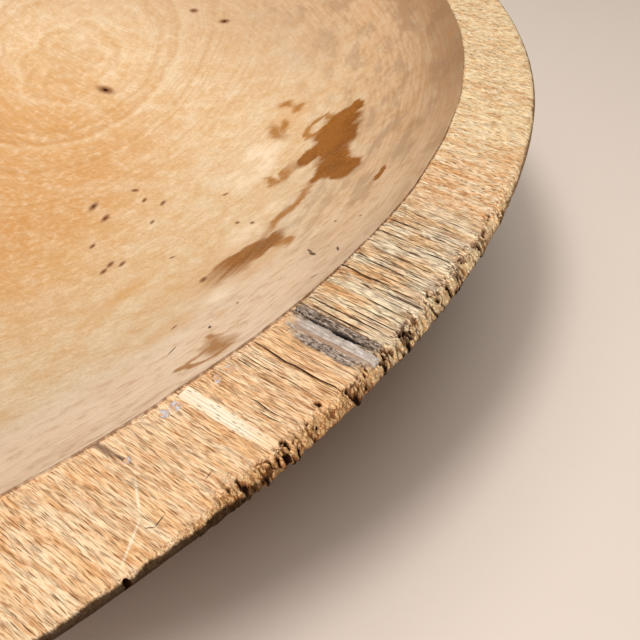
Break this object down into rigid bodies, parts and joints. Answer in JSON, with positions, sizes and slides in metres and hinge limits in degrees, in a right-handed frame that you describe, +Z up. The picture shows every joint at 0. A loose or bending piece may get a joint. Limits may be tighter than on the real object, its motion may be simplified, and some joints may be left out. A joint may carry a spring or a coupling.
{
  "type": "dough bowl",
  "caption": "Wide round wooden dough bowl with a flat weathered rim, a smooth shallow hollow and a flat foot; the rim has a filled split and a let-in slip.",
  "frame": {"origin": "centre of the flat foot, on the surface that the bowl stands on", "axes": "+Z up along the axis of the bowl; +X along the grain of the block, through the pictured end of the rim"},
  "size_m": [0.6, 0.6, 0.1422],
  "materials": {
    "old_wood": "worn, dry on the rim, satin inside",
    "dark_filler": "matt, fibrous",
    "pale_filler": "matt, smeared",
    "speckled_filler": "matt, speckled",
    "pale_wood": "bare, dry",
    "putty": "matt, chalky"
  },
  "bodies": {
    "root": {"bowl": "old_wood", "fill_dark": "dark_filler", "fill_pale": "pale_filler", "fill_speckled": "speckled_filler", "rim_slip": "pale_wood", "putty_dabs": "putty"}
  },
  "joints": []
}
